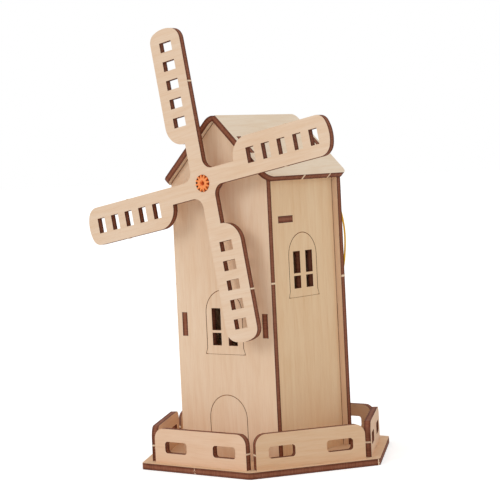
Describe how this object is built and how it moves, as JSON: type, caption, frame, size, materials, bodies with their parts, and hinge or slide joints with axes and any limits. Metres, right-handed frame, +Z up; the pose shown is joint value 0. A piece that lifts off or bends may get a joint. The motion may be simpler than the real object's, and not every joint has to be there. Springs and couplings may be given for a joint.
{
  "type": "slot-together plywood windmill",
  "caption": "Slot-together plywood windmill with gabled tower, fenced hexagonal base and a cross of sails turned by a small electric motor.",
  "frame": {"origin": "centre of the underside of the hexagonal base", "axes": "+Z up, the sails and the door face -Y, +X to the right when looking at the door"},
  "size_m": [0.1458, 0.1108, 0.2049],
  "materials": {
    "plywood": "sanded basswood plywood, laser-charred edges",
    "motor_steel": "zinc-plated pressed steel",
    "magnet": "matt ferrite",
    "bronze": "sintered bronze",
    "nylon": "moulded white nylon",
    "copper": "bare copper",
    "terminal_brass": "stamped brass",
    "shaft_steel": "ground steel",
    "armature_steel": "stacked laminations",
    "orange_plastic": "moulded orange plastic",
    "foam_tape": "closed-cell foam tape",
    "black_plastic": "textured black ABS",
    "cell_sleeve": "shrink sleeve over a steel can",
    "spring_steel": "nickel-plated spring steel",
    "screw_steel": "zinc-plated screw",
    "switch_plastic": "moulded plastic",
    "yellow_pvc": "PVC insulation",
    "black_pvc": "PVC insulation"
  },
  "bodies": {
    "tower": {"base_plate": "plywood", "fence_front": "plywood", "fence_front_right": "plywood", "fence_back_right": "plywood", "fence_back": "plywood", "fence_back_left": "plywood", "fence_front_left": "plywood", "front_wall": "plywood", "back_wall": "plywood", "right_wall": "plywood", "left_wall": "plywood", "roof_right": "plywood", "roof_left": "plywood", "motor_shelf": "plywood", "cradle_front": "plywood", "cradle_rear": "plywood", "motor_can": "motor_steel", "motor_magnets": "magnet", "motor_bushes": "bronze", "motor_endcap": "nylon", "motor_brushes": "copper", "motor_terminals": "terminal_brass", "tape_pad": "foam_tape", "battery_case": "black_plastic", "battery_cells": "cell_sleeve", "battery_springs": "spring_steel", "battery_contacts": "spring_steel", "battery_cover": "black_plastic", "cover_screw": "screw_steel", "switch_body": "switch_plastic", "lead_yellow": "yellow_pvc", "lead_black": "black_pvc"},
    "sails": {"motor_shaft": "shaft_steel", "motor_armature": "armature_steel", "motor_commutator": "copper", "hub_gear": "orange_plastic", "sail_cross": "plywood"},
    "slider": {"switch_slider": "black_plastic"}
  },
  "joints": [
    {"name": "sail_spin", "type": "hinge", "parent": "tower", "child": "sails", "pos_m": [0, -0.04, 0.132], "axis": [0, -1, 0], "continuous": true},
    {"name": "switch_slide", "type": "slide", "parent": "tower", "child": "slider", "axis": [1, 0, 0], "range_m": [0, 0.0024]}
  ]
}
